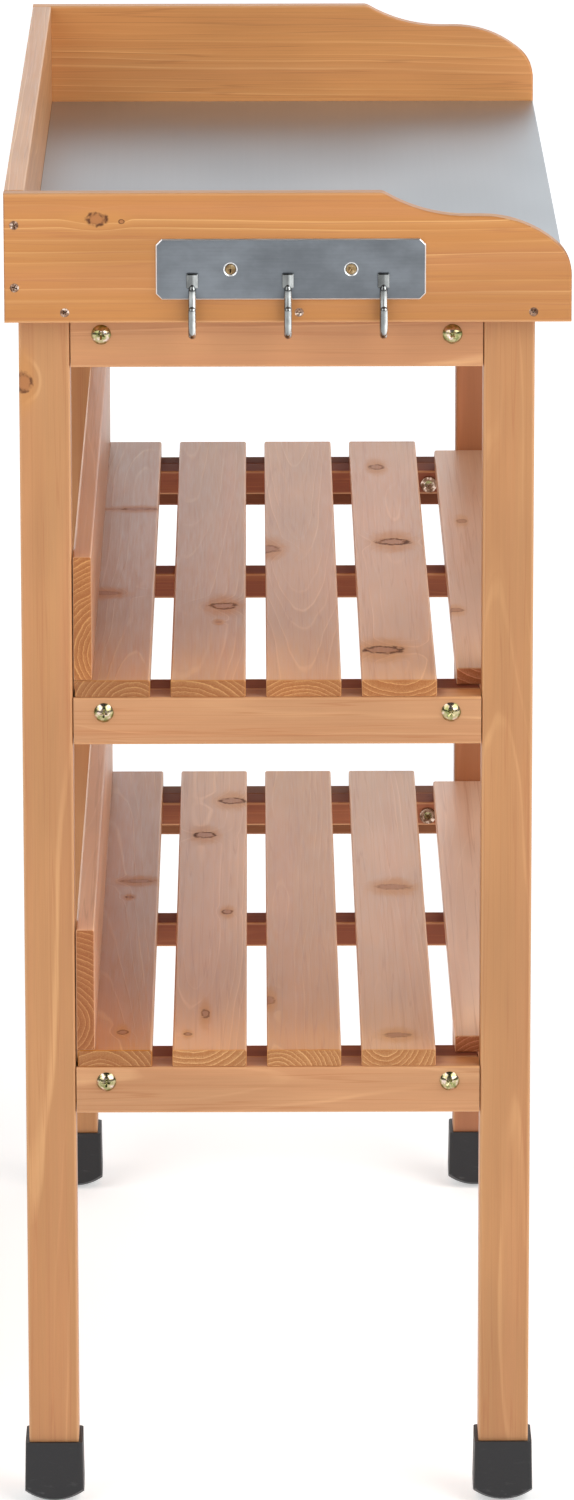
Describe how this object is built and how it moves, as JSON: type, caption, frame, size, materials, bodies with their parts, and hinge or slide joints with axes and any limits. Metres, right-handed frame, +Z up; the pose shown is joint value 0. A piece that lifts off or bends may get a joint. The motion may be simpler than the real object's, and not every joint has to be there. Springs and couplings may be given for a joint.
{
  "type": "potting bench",
  "caption": "Free-standing wooden potting bench with a scrolled tray over a galvanised worktop, slatted shelves with stop boards and a hook plate on its left end.",
  "frame": {"origin": "on the floor, under the middle of the whole bench with its hooks", "axes": "+Z up, -Y towards somebody working at the bench, +X to that person's right, along the bench"},
  "size_m": [0.805, 0.38, 0.93],
  "materials": {
    "frame_wood": "oiled, warm orange tan",
    "board_wood": "oiled, warm orange tan",
    "slat_wood": "oiled, paler and greyer",
    "galvanised_sheet": "satin galvanised",
    "hook_plate_steel": "satin zinc plated",
    "hook_wire_steel": "bright zinc plated",
    "zinc_fasteners": "yellow passivated zinc",
    "steel_pins": "dull",
    "cap_plastic": "charcoal, fine matt"
  },
  "bodies": {
    "root": {"back_board": "board_wood", "back_board_screws": "zinc_fasteners", "batten_low_centre": "slat_wood", "batten_low_left": "slat_wood", "batten_low_right": "slat_wood", "batten_mid_centre": "slat_wood", "batten_mid_left": "slat_wood", "batten_mid_right": "slat_wood", "batten_top_centre": "slat_wood", "batten_top_left": "slat_wood", "batten_top_right": "slat_wood", "end_rail_low_left": "frame_wood", "end_rail_low_right": "frame_wood", "end_rail_mid_left": "frame_wood", "end_rail_mid_right": "frame_wood", "end_rail_top_left": "frame_wood", "end_rail_top_right": "frame_wood", "foot_cap_back_left": "cap_plastic", "foot_cap_back_right": "cap_plastic", "foot_cap_front_left": "cap_plastic", "foot_cap_front_right": "cap_plastic", "hook_back": "hook_wire_steel", "hook_front": "hook_wire_steel", "hook_middle": "hook_wire_steel", "hook_plate": "hook_plate_steel", "hook_plate_screws": "zinc_fasteners", "insert_nuts_low": "zinc_fasteners", "insert_nuts_mid": "zinc_fasteners", "insert_nuts_top": "zinc_fasteners", "leg_back_left": "frame_wood", "leg_back_right": "frame_wood", "leg_front_left": "frame_wood", "leg_front_right": "frame_wood", "panel_screws": "zinc_fasteners", "rail_bolts_low": "zinc_fasteners", "rail_bolts_mid": "zinc_fasteners", "rail_bolts_top": "zinc_fasteners", "sheet_nails": "zinc_fasteners", "side_board_left": "board_wood", "side_board_right": "board_wood", "side_board_screws": "zinc_fasteners", "slat_low_1": "slat_wood", "slat_low_2": "slat_wood", "slat_low_3": "slat_wood", "slat_low_4": "slat_wood", "slat_low_5": "slat_wood", "slat_mid_1": "slat_wood", "slat_mid_2": "slat_wood", "slat_mid_3": "slat_wood", "slat_mid_4": "slat_wood", "slat_mid_5": "slat_wood", "slat_screws_low": "zinc_fasteners", "slat_screws_mid": "zinc_fasteners", "stop_board_low": "slat_wood", "stop_board_mid": "slat_wood", "stop_board_screws": "zinc_fasteners", "tenon_pins": "steel_pins", "worktop_panel": "board_wood", "worktop_sheet": "galvanised_sheet"}
  },
  "joints": []
}
